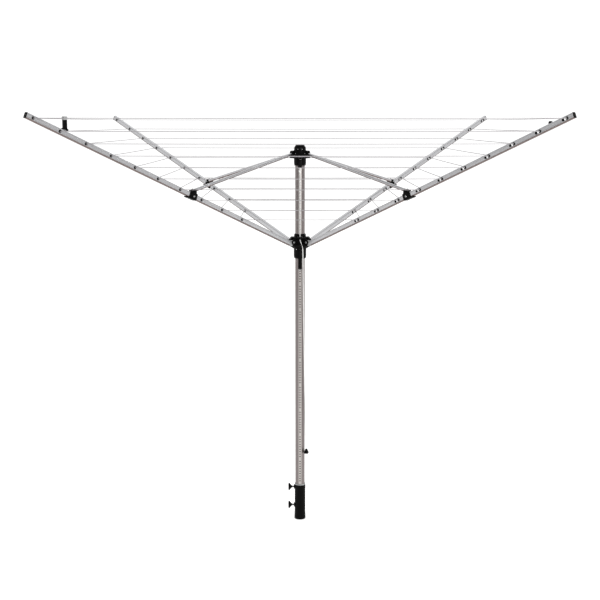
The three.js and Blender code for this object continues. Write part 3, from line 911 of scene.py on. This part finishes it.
class CLOTHESLINE_OT_mast(Operator):
    """Models the mast tube with its row of holes, its top cap and its foot plug."""

    bl_idname = "clothesline.mast"
    bl_label = "Mast"

    wall = 1.6
    first_hole = 191.9
    hole_corner = 1.6
    highlight_half = 6.4
    groups = 12
    group = 10

    def execute(self, context):
        low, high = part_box("mast_tube")
        foot, top = low.z / MM, high.z / MM
        inner = MAST_RADIUS - self.wall
        mast = spun("mast_body", [
            (inner, foot), (MAST_RADIUS, foot), (MAST_RADIUS, top), (inner, top), (inner, foot),
        ], 80)
        combine(mast, [self.holes(self.groups, self.group - 1, 0)], "DIFFERENCE")
        combine(mast, [self.holes(1, 3, self.groups * self.group)], "DIFFERENCE")
        smooth(mast)
        lay_grain(mast, (0, 0, 0), (0, 0, 1))
        for key in ("mast", "inside", "strip"):
            mast.data.materials.append(material(key))
        for face in mast.data.polygons:
            # Faces inside the tube take the near black colour: painted shade.
            within = math.hypot(face.center.x, face.center.y) < (MAST_RADIUS - 0.4) * MM
            # Faces at the front of the mast, along its holes, take the brighter colour: a painted
            # highlight.
            on_highlight = abs(face.center.x) < self.highlight_half * MM and face.center.y < 0
            face.material_index = 1 if within else 2 if on_highlight else 0
        finish(mast, "mast", "mast", "mast_tube")
        self.ends(top)
        return {"FINISHED"}

    def holes(self, groups, count, skipped):
        """A column of round-cornered cutters, every tenth of which is left out."""
        size = sizes()
        pitch = size.hole_pitch
        z = self.first_hole * MM + skipped * pitch
        half_width, half_height = size.hole_width / 2 / MM, size.hole_height / 2 / MM
        cutter = block("holes", (-half_width, -26, -half_height), (half_width, -18, half_height))

        def goes_through(edge):
            a, b = (cutter.data.vertices[i].co for i in edge.vertices)
            return abs(a.y - b.y) > MM

        choose(cutter, "EDGE", goes_through)
        bpy.ops.mesh.bevel(offset=self.hole_corner * MM, segments=2, affect="EDGES")
        bpy.ops.object.mode_set(mode="OBJECT")
        cutter.location.z = z
        bpy.ops.object.transform_apply()
        modify(cutter, "ARRAY", count=count, use_relative_offset=False, use_constant_offset=True,
               constant_offset_displace=(0, 0, pitch))
        modify(cutter, "ARRAY", count=groups, use_relative_offset=False,
               use_constant_offset=True, constant_offset_displace=(0, 0, pitch * self.group))
        return cutter

    def ends(self, top):
        cap = spun("mast_cap_body", [
            (0, top + 9), (19, top + 9), (20.2, top + 8.2), (22.2, top + 4.2), (22.4, top + 0.3),
            (20.3, top + 0.3), (20.3, top - 14), (0, top - 14),
        ], 64)
        finish(smooth(cap), "black", "mast", "mast_top_cap")
        plug = spun("mast_plug_body", [
            (0, 106.4), (21, 106.4), (22.2, 107.5), (22.2, 109.9), (20.3, 109.9), (20.3, 128),
            (19, 131), (0, 131),
        ], 64)
        finish(smooth(plug), "black", "mast", "mast_foot_plug")


# ---- Crown ----

def brace_blocks(out, side, height):
    """Blocks round the crown where the braces stand, between two distances out and two heights."""
    tools = []
    for arm in ARMS:
        middle = brace_side(arm) * BRACE_ASIDE
        tool = block(
            "space", (out[0], middle - side, height[0]), (out[1], middle + side, height[1]))
        tools.append(moved(tool, turned_to(arm), "space"))
    return tools


def brace_side(arm):
    """1 where a brace lies to the left of its arm, and -1 where it lies to the right."""
    pivot = Vector(JOINTS[f"brace_fold_{arm}"]["pos_m"])
    local = turned_to(arm).inverted() @ pivot
    return 1 if local.y > 0 else -1


def pan_head(name, place, out, radius, high=1.6):
    """A domed bolt head with a hex socket, standing on a surface that faces along out."""
    head = spun(name, [
        (0, high - 1.2), (radius * 0.42, high - 1.2), (radius * 0.46, high), (radius * 0.75, high),
        (radius, high * 0.35), (radius, -1.5), (0, -1.5),
    ], 24)
    turn = Vector(out).to_track_quat("Z", "Y").to_matrix().to_4x4()
    return smooth(moved(head, Matrix.Translation([c * MM for c in place]) @ turn, name))


class CLOTHESLINE_OT_crown(Operator):
    """Models the crown: collar, plate and base, with their bolts and the latch."""

    bl_idname = "clothesline.crown"
    bl_label = "Crown"

    slot_half = BRACE_WIDE / 2 + 0.6
    lobe_top = 1757

    def execute(self, context):
        self.collar()
        self.ring()
        self.base()
        self.bolts()
        rounded("crown_pawl", "crown_latch_tab", "black", "crown_latch", 0.8, 3)
        return {"FINISHED"}

    def collar(self):
        foot, top = CROWN_SPLIT + 0.3, 1777
        collar = spun("crown_collar_body", [
            (BORE, foot), (50.4, foot), (50.9, foot + 1.7), (49.9, foot + 4.2), (34, foot + 5.2),
            (31.4, foot + 9), (29.8, 1755), (28.2, 1759), (27, 1762), (27, 1770), (26.2, 1772.6),
            (24.4, 1776), (23.6, top), (BORE, top), (BORE, foot),
        ], 64)
        lobes = []
        for arm in ARMS:
            middle = brace_side(arm) * BRACE_ASIDE
            outline = [(15, foot), (41.5, foot),
                       *arc(BRACE_PIVOT[0], self.lobe_top - 8.5, 8.5, 0, 90, 8),
                       (15, self.lobe_top)]
            start = middle - self.slot_half - 3.4
            lobe = plate("lobe", upright(outline, start), (0, 2 * self.slot_half + 6.8, 0))
            lobes.append(moved(lobe, turned_to(arm), "lobe"))
        combine(collar, lobes, "UNION")
        spaces = brace_blocks((23.5, 60), self.slot_half, (foot - 5, BRACE_PIVOT[1] + 6.4))
        spaces.append(rod("bore", (0, 0, foot - 5), (0, 0, top + 5), BORE, 64))
        combine(collar, spaces, "DIFFERENCE")
        soften(collar)
        finish(collar, "black", "crown", "crown_collar")

    def ring(self):
        ring = spun("crown_plate_ring", [
            (BORE, CROWN_PLATE_FOOT), (45.6, CROWN_PLATE_FOOT), (46.5, CROWN_PLATE_FOOT + 1.2),
            (46.5, CROWN_SPLIT - 1.2), (45.6, CROWN_SPLIT), (BORE, CROWN_SPLIT),
            (BORE, CROWN_PLATE_FOOT),
        ], 64)
        spaces = brace_blocks((25.3, 60), self.slot_half, (CROWN_PLATE_FOOT - 5, CROWN_SPLIT + 5))
        combine(ring, spaces, "DIFFERENCE")
        finish(soften(ring, 0.4), "plate", "crown", "crown_plate")

    def base(self):
        foot, top = 1688.6, CROWN_PLATE_FOOT - 0.3
        base = spun("crown_base_body", [
            (BORE, foot), (24.2, foot), (25.6, foot + 1.4), (26.9, foot + 5), (27.7, foot + 12),
            (27.7, top - 6), (29, top - 4.6), (49, top - 3.4), (49.9, top - 1.8), (49.4, top),
            (BORE, top), (BORE, foot),
        ], 64)
        tools = [block("window", (-9.6, -40, foot - 5), (9.6, -15, 1719.5))]
        tools += brace_blocks((25.3, 60), self.slot_half, (foot - 5, top + 5))
        combine(base, tools, "DIFFERENCE")
        finish(soften(base), "black", "crown", "crown_base")

    def bolts(self):
        heads = []
        for x, z, radius, size in ((9.5, 1763.5, 26.8, 2.2), (21, 1743, 31.6, 2.6)):
            for side in (-1, 1):
                for way in (-1, 1):
                    y = way * math.sqrt(radius ** 2 - x ** 2)
                    heads.append(pan_head("bolt", (side * x, y, z), (side * x, y, 0), size))
        finish(merged(heads, "crown_bolts"), "zinc", "crown")


# ---- Hub ----

class CLOTHESLINE_OT_hub(Operator):
    """Models the sliding hub with its cheeks, rivets, screws, release lever and wire catch."""

    bl_idname = "clothesline.hub"
    bl_label = "Hub"

    foot = 1261
    top = 1376
    outside = HUB_CHEEK_GAP / 2 + HUB_CHEEK

    def execute(self, context):
        self.hub()
        self.rivets()
        self.screws()
        rounded("hub_release_lever", "hub_lever_tongue", "black", "hub_latch", 0.8, 3)
        self.catch()
        return {"FINISHED"}

    def cheek_outline(self):
        return [(24, 1306), (42, 1314), (56, 1321), *arc(*ARM_PIVOT, 12.5, -50, 75, 10),
                (44, 1358), (24, 1362)]

    def plate(self, radius, foot, top):
        """A round plate above or below the pivots, with a gap for each arm."""
        ring = spun("plate", [
            (BORE, foot), (radius - 1.5, foot), (radius, foot + 1.5), (radius, top - 1.5),
            (radius - 1.5, top), (BORE, top), (BORE, foot),
        ], 64)
        half = HUB_CHEEK_GAP / 2
        gaps = []
        for arm in ARMS:
            gap = block("gap", (34, -half, foot - 5), (radius + 5, half, top + 5))
            gaps.append(moved(gap, turned_to(arm), "gap"))
        return combine(ring, gaps, "DIFFERENCE")

    def hub(self):
        foot, top = self.foot, self.top
        hub = spun("hub_sliding_body", [
            (BORE, foot), (24.4, foot), (26, foot + 1), (27.8, foot + 4), (28.8, foot + 9),
            (29, foot + 14), (29, 1350), (27.8, 1358), (27.6, top - 10), (27, top - 4),
            (25.6, top - 0.8), (24.4, top), (BORE, top), (BORE, foot),
        ], 64)
        added = []
        for arm in ARMS:
            for side in (-1, 1):
                start = side * HUB_CHEEK_GAP / 2
                outline = upright(self.cheek_outline(), start)
                cheek = plate("cheek", outline, (0, side * HUB_CHEEK, 0))
                added.append(moved(cheek, turned_to(arm), "cheek"))
            half = HUB_CHEEK_GAP / 2 + 1
            web = block("web", (23, -half, 1308), (33, half, 1352))
            added.append(moved(web, turned_to(arm), "web"))
        added += [self.plate(46, 1354.5, 1361), self.plate(51, 1319, 1330.5)]
        combine(hub, added, "UNION")
        combine(hub, self.spaces(), "DIFFERENCE")
        finish(soften(hub), "black", "hub", "hub_body")

    def spaces(self):
        foot, top = self.foot, self.top
        front = -56
        notch = upright([(-4.6, top + 1), (0, top - 17), (4.6, top + 1)], front)
        run = upright([(-3.6, 1351.2), (3.4, 1351.2), (15.6, 1318), (16.8, foot - 5),
                       (10, foot - 5), (8.4, 1316)], front)
        return [
            rod("bore", (0, 0, foot - 5), (0, 0, top + 5), BORE, 64),
            plate("notch", notch, (0, -2 * front, 0)),
            block("lever_space", (-9.2, -40, foot - 5), (9.2, -15, 1302)),
            block("cord_groove", (-2.6, front, 1361), (2.6, -27.2, top + 5)),
            plate("cord_run", run, (0, -24.9 - front, 0)),
        ]

    def rivets(self):
        r, z = ARM_PIVOT
        for arm in ARMS:
            pin = rod("pin", (r, -self.outside, z), (r, self.outside, z), 3, 24)
            heads = [
                pan_head("head", (r, side * (self.outside + 0.3), z), (0, side, 0), 4.8, 2)
                for side in (-1, 1)]
            rivet = merged([pin, *heads], "rivet")
            placed = moved(rivet, turned_to(arm), f"arm_rivet_{arm}_steel")
            finish(smooth(placed), "zinc", "hub", f"arm_rivet_{arm}")

    def screws(self):
        heads = []
        for x, z, radius in ((9.5, 1361, 27.7), (-9.5, 1361, 27.7), (-17, 1305, 29)):
            for way in (-1, 1):
                y = way * math.sqrt(radius ** 2 - x ** 2)
                heads.append(pan_head("screw", (x, y, z), (x, y, 0), 2.1, 1))
        finish(merged(heads, "hub_screws"), "zinc", "hub")

    def catch(self):
        """The bent wire at the tip of the lever that shows below it as a pale U."""
        bend = [(x, -31.4, z) for x, z in arc(0, 1211, 5.4, 180, 360, 12)]
        wire = tube("hub_lever_catch", [(-5.4, -31.4, 1220), *bend, (5.4, -31.4, 1220)], 1.1, 12)
        finish(smooth(wire, ROUND_SECTION), "zinc", "hub_latch")


# ---- Arms ----

def grooved_section(wide, high, corner, middle):
    """An arm's section as (y, z) points: rounded corners, and two shallow grooves on each side."""
    w, h = wide / 2, high / 2
    side = [
        *arc(w - corner, -h + corner, corner, -90, 0, 4),
        (w, -h + 3.2), (w - 0.5, -h + 3.6), (w - 0.5, -h + 4.2), (w, -h + 4.6),
        (w, h - 4.6), (w - 0.5, h - 4.2), (w - 0.5, h - 3.6), (w, h - 3.2),
        *arc(w - corner, h - corner, corner, 0, 90, 4),
    ]
    other = [(-y, z) for y, z in reversed(side)]
    return [(y, z + middle) for y, z in side + other]


def drawn_tube(name, section, start, end, wall):
    """A hollow section drawn along x: a ring of edges is extruded, then given its wall."""
    ring = [(start, y, z) for y, z in section]
    piece = thread(ring + ring[:1])
    bpy.ops.mesh.remove_doubles(threshold=SAME_PLACE * MM)
    bpy.ops.mesh.select_all(action="SELECT")
    bpy.ops.mesh.extrude_region_move(
        TRANSFORM_OT_translate={"value": ((end - start) * MM, 0, 0)})
    settle(piece, name)
    return modify(piece, "SOLIDIFY", thickness=wall * MM, offset=-1)


def paint_underside_shade(piece, height):
    """Gives a tube's faces below a height a darker colour: painted shade on its underside."""
    piece.data.materials.append(material("arm"))
    piece.data.materials.append(material("underside_shade"))
    # Faces low on the tube take the darker colour: painted shade.
    for face in piece.data.polygons:
        face.material_index = 1 if face.center.z < height * MM else 0
    return piece


class CLOTHESLINE_OT_arms(Operator):
    """Models the four arms: grooved tubes, hinge ends, tip caps, brackets and their bolts."""

    bl_idname = "clothesline.arms"
    bl_label = "Arms"

    line_hole = 3.3
    bracket_bolt = 635.2

    def execute(self, context):
        pattern = self.tube_pattern()
        bolts = self.bracket_bolts()
        for arm in ARMS:
            place = arm_place(arm)
            body = f"arm_{arm}"
            piece = copied(pattern, place, f"arm_{arm}_tube")
            lay_grain(piece, place.translation, place.to_3x3() @ Vector((1, 0, 0)))
            finish(piece, "arm", body, f"arm_tube_{arm}")
            for part, key, *edge in (
                    ("hinge", "nylon", 0.6), ("cap", "black", 0.9, 3), ("bracket", "black", 0.8)):
                rounded(f"arm_{part}_{arm}", f"arm_{arm}_{part}", key, body, *edge)
            heads = copied(bolts, place, f"arm_{arm}_bracket_bolts")
            finish(heads, "zinc", body)
        for pattern_piece in (pattern, bolts):
            bpy.data.objects.remove(pattern_piece)
        return {"FINISHED"}

    def tube_pattern(self):
        """One arm's tube, with a hole for every round of line and painted shade on its underside.
        """
        piece = drawn_tube(
            "arm_pattern", grooved_section(ARM_WIDE, ARM_HIGH, 2, -ARM_DROP), ARM_START,
            ARM_LENGTH - CAP_LENGTH, ARM_WALL)
        holes = [
            rod("hole", (line_along(n), -20, -ARM_DROP), (line_along(n), 20, -ARM_DROP),
                self.line_hole, 20)
            for n in range(1, sizes().line_rounds + 1)]
        combine(piece, [merged(holes, "holes")], "DIFFERENCE")
        smooth(piece, 30)
        return paint_underside_shade(piece, -ARM_DROP - ARM_HIGH / 2 + 3)

    def bracket_bolts(self):
        """The heads of the bolt that goes through the bracket and the arm."""
        heads = [
            pan_head("head", (self.bracket_bolt, side * 11.8, -ARM_DROP - 0.5), (0, side, 0),
                     4.4, 2.2)
            for side in (-1, 1)]
        return merged(heads, "bracket_bolts")


# ---- Braces ----

def oval_section(wide, high, corner):
    w, h = wide / 2 - corner, high / 2 - corner
    quarters = ((w, -h, -90), (w, h, 0), (-w, h, 90), (-w, -h, 180))
    return [p for y, z, start in quarters for p in arc(y, z, corner, start, start + 90, 6)]


class CLOTHESLINE_OT_braces(Operator):
    """Models the four braces: oval tubes with their inner and outer ends."""

    bl_idname = "clothesline.braces"
    bl_label = "Braces"

    def execute(self, context):
        pattern = smooth(drawn_tube(
            "brace_pattern", oval_section(BRACE_WIDE, BRACE_HIGH, 4.4), 10, BRACE_LENGTH - 13,
            BRACE_WALL), 40)
        # Painted shade on the brace's lower faces.
        paint_underside_shade(pattern, -BRACE_HIGH / 2 + 4.4)
        for arm in ARMS:
            place = brace_place(arm)
            body = f"brace_{arm}"
            piece = copied(pattern, place, f"brace_{arm}_tube")
            lay_grain(piece, place.translation, place.to_3x3() @ Vector((1, 0, 0)))
            finish(piece, "arm", body, f"brace_tube_{arm}")
            for part, key, edge in (("inner_end", "zinc", 0.4), ("outer_end", "black", 0.8)):
                rounded(f"brace_{part}_{arm}", f"brace_{arm}_{part}", key, body, edge)
            side = brace_side(arm)
            head = pan_head("head", (BRACE_LENGTH, side * 8, 0), (0, side, 0), 3.6, 1.6)
            finish(moved(head, place, f"brace_{arm}_bolt"), "zinc", body)
        bpy.data.objects.remove(pattern)
        return {"FINISHED"}


# ---- Line ----

def line_direction(side):
    """Which way a line leaves an arm that points along x: level, and square to the next one."""
    return Vector((-math.sqrt(0.5), side * math.sqrt(0.5), 0))


class CLOTHESLINE_OT_line(Operator):
    """Models the rounds of line as two halves between each pair of arms."""

    bl_idname = "clothesline.line"
    bl_label = "Line"

    def execute(self, context):
        for n in range(1, sizes().line_rounds + 1):
            for side_name, side in SIDES.items():
                pattern = self.half_line(n, side)
                for arm in ARMS:
                    self.place(pattern, n, arm, side_name, side)
                bpy.data.objects.remove(pattern)
        return {"FINISHED"}

    shrunk = 0.03

    def half_line(self, n, side):
        """Out of an arm that points along x, and on to halfway to the next arm."""
        r, z = line_radius(n), line_height(n)
        way = line_direction(side)
        mouth = Vector((r, side * LINE_MOUTH, z))
        run = (r - LINE_MOUTH) / math.sqrt(2)
        sag = sizes().line_sag / MM
        points = [(r, 0, z), (r, side * (LINE_MOUTH - 5), z), (r - 0.5, side * (LINE_MOUTH - 2), z)]
        steps = 9
        for i in range(1, steps + 1):
            share = (i / steps) ** 1.5
            there = mouth + way * max(3.0, run * share)
            drop = sag * (1 - (1 - share) ** 2)
            points.append((there.x, there.y, z - drop))
        piece = tube("half_line", points, sizes().line_thickness / MM / 2, sides=8)
        lay_grain(piece, in_metres([mouth])[0], way)
        smooth(piece, ROUND_SECTION)
        piece.data.materials.append(material("line"))
        return piece

    def place(self, pattern, n, arm, side_name, side):
        turn = turned_to(arm)
        piece = copied(pattern, turn, f"line_{n:02d}_arm_{arm}_{side_name}")
        replaced = [f"line_round_{n:02d}"] if arm == 1 and side > 0 else []
        finish(piece, "line", f"arm_{arm}", *replaced)
        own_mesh(piece)


class CLOTHESLINE_OT_eyelets(Operator):
    """Models the black eyelets and plugs on the sides of the arms, and the white beads."""

    bl_idname = "clothesline.eyelets"
    bl_label = "Eyelets"

    plug_step = 17.5
    bead_step = 9

    def execute(self, context):
        ring, plug, bead = self.ring(), self.plug(), self.bead()
        dark, white = [], []
        for n in range(1, sizes().line_rounds + 1):
            along = line_along(n)
            for side in SIDES.values():
                dark.append(self.stand(ring, along, side))
            dark.append(self.stand(plug, along - self.plug_step, -1))
            white.append(self.stand(bead, along - self.bead_step, -1))
        dark_pattern = merged(dark, "eyelet_pattern")
        white_pattern = merged(white, "bead_pattern")
        for arm in ARMS:
            eyelets = copied(dark_pattern, arm_place(arm), f"arm_{arm}_eyelets")
            finish(smooth(eyelets), "black", f"arm_{arm}")
            beads = copied(white_pattern, arm_place(arm), f"arm_{arm}_line_beads")
            finish(smooth(beads), "bead", f"arm_{arm}")
        for piece in (ring, plug, bead, dark_pattern, white_pattern):
            bpy.data.objects.remove(piece)
        return {"FINISHED"}

    def stand(self, pattern, along, side):
        """Stands a copy of a pattern on one side face of an arm."""
        turn = Matrix.Rotation(-side * math.pi / 2, 4, "X")
        place = Matrix.Translation(
            (along * MM, side * ARM_WIDE / 2 * MM, -ARM_DROP * MM))
        return copied(pattern, place @ turn, pattern.name)

    def ring(self):
        out = sizes().eyelet_width / MM / 2
        return spun("ring", [
            (1.9, -2.6), (3.1, -2.6), (3.1, 0.05), (out, 0.05), (out, 0.9), (out - 1, 1.8),
            (3, 2), (1.9, 1.2), (1.9, -2.6),
        ], 24)

    def plug(self):
        out = sizes().eyelet_width / MM / 2 - 0.3
        return spun("plug", [
            (0, 0.05), (out, 0.05), (out, 0.7), (out - 1.2, 1.8), (0, 2.2),
        ], 24)

    def bead(self):
        return spun("bead", [(0, 0.05), (3.4, 0.05), (3.4, 0.8), (2.4, 1.9), (0, 2.3)], 20)


class CLOTHESLINE_OT_line_fittings(Operator):
    """Models the post and the clip that hold the two ends of the line."""

    bl_idname = "clothesline.line_fittings"
    bl_label = "Line Fittings"

    post_radius = 1258
    post_foot = 1853.5
    post_top = 1906

    def execute(self, context):
        r, foot, top = self.post_radius, self.post_foot, self.post_top
        post = block("post", (r - 7, -7, foot + 3), (r + 7, 7, top - 13))
        slot = block("slot", (r - 2, -20, foot + 12), (r + 2, 20, top - 20))
        rise = math.tan(ARM_SLOPE) * 11
        sole = plate("sole", upright([
            (r - 11, foot + 2 - rise), (r + 11, foot + 2 + rise), (r + 11, foot + 10),
            (r - 11, foot + 5)], -8), (0, 16, 0))
        combine(post, [sole], "UNION")
        combine(post, [slot], "DIFFERENCE")
        self.stand(post, 1, "tie_post_stem", "black", "tie_post")
        cap = block("cap", (r - 7.6, -7.6, top - 12.8), (r + 7.6, 7.6, top))
        self.stand(cap, 1, "tie_post_cap", "nylon")
        self.clip()
        return {"FINISHED"}

    def stand(self, pattern, arm, name, key, *nodes):
        soften(pattern, 0.9, 3)
        finish(moved(pattern, turned_to(arm), name), key, f"arm_{arm}", *nodes)

    def clip(self):
        """A small hook on the back of the second arm, which holds the line's other end."""
        r = 1325
        back = ARM_PIVOT[1] + (r - ARM_PIVOT[0]) * math.tan(ARM_SLOPE) + 1.3
        hook = plate("hook", upright([
            (r - 7, back - 2.6), (r + 7, back + 3.2), (r + 7, back + 6), (r + 1, back + 9),
            (r - 5, back + 8), (r - 7, back + 3)], -5), (0, 10, 0))
        self.stand(hook, 2, "line_end_hook", "black")


# ---- Add-on ----

OPERATORS = (
    CLOTHESLINE_OT_stage,
    CLOTHESLINE_OT_pull_cord,
    CLOTHESLINE_OT_ground_sleeve,
    CLOTHESLINE_OT_wing_screws,
    CLOTHESLINE_OT_mast,
    CLOTHESLINE_OT_crown,
    CLOTHESLINE_OT_hub,
    CLOTHESLINE_OT_arms,
    CLOTHESLINE_OT_braces,
    CLOTHESLINE_OT_line,
    CLOTHESLINE_OT_eyelets,
    CLOTHESLINE_OT_line_fittings,
)


class VIEW3D_PT_clothesline(Panel):
    """Lists the settings and the operators in the order in which they are used."""

    bl_label = "Rotary Clothesline"
    bl_space_type = "VIEW_3D"
    bl_region_type = "UI"
    bl_category = "Clothesline"

    def draw(self, context):
        scene = context.scene
        for settings in (scene.clothesline_sizes, scene.clothesline_colours,
                         scene.clothesline_stage):
            column = self.layout.column(align=True)
            for name in settings.__annotations__:
                column.prop(settings, name)
        for operator in OPERATORS:
            self.layout.operator(operator.bl_idname)


CLASSES = (ClotheslineSizes, ClotheslineColours, ClotheslineStage, *OPERATORS,
           VIEW3D_PT_clothesline)


def register():
    for cls in CLASSES:
        bpy.utils.register_class(cls)
    bpy.types.Scene.clothesline_sizes = PointerProperty(type=ClotheslineSizes)
    bpy.types.Scene.clothesline_colours = PointerProperty(type=ClotheslineColours)
    bpy.types.Scene.clothesline_stage = PointerProperty(type=ClotheslineStage)


def unregister():
    del bpy.types.Scene.clothesline_stage
    del bpy.types.Scene.clothesline_colours
    del bpy.types.Scene.clothesline_sizes
    for cls in reversed(CLASSES):
        bpy.utils.unregister_class(cls)


def main():
    """Registers the add-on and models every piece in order."""
    register()
    for operator in OPERATORS:
        group, name = operator.bl_idname.split(".")
        getattr(getattr(bpy.ops, group), name)()
    put_down()


if __name__ == "__main__":
    main()
